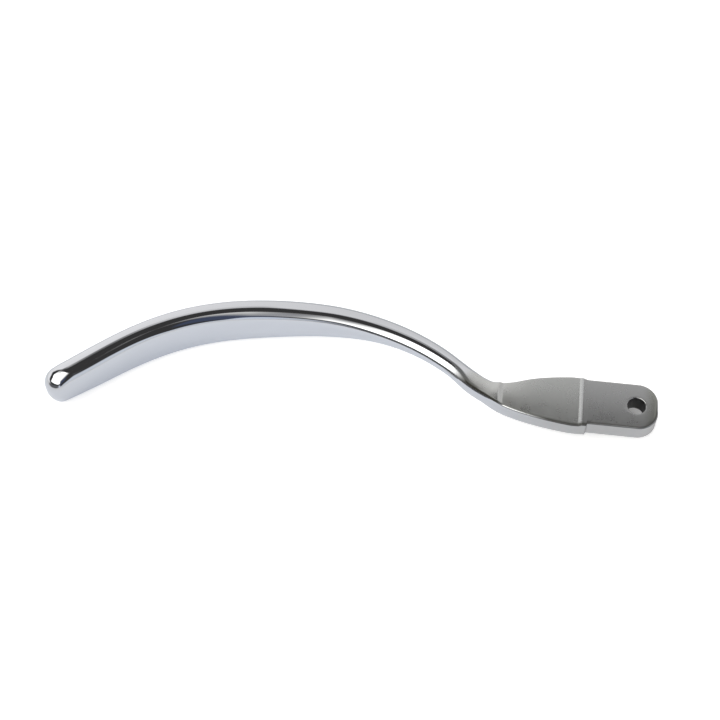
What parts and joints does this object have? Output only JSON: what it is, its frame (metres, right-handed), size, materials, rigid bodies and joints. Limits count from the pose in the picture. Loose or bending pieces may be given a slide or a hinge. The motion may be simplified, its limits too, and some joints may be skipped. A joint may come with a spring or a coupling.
{
  "type": "convertible top lever",
  "caption": "Curved chrome-plated hand lever for a convertible top latch, with an arched tapered grip, a slim neck and a flared tang that ends in a drilled pivot paddle.",
  "frame": {"origin": "on the axis of the pivot hole, half way through the thickness of the paddle", "axes": "+Z along the pivot hole, +X along the tang from the grip to the end of the paddle, +Y towards the outside of the grip's arch"},
  "size_m": [0.1842, 0.0412, 0.0148],
  "materials": {
    "chrome_plate": "bright chrome plate over polished metal, satin on the top faces of the tang"
  },
  "bodies": {
    "root": {"lever": "chrome_plate"}
  },
  "joints": []
}
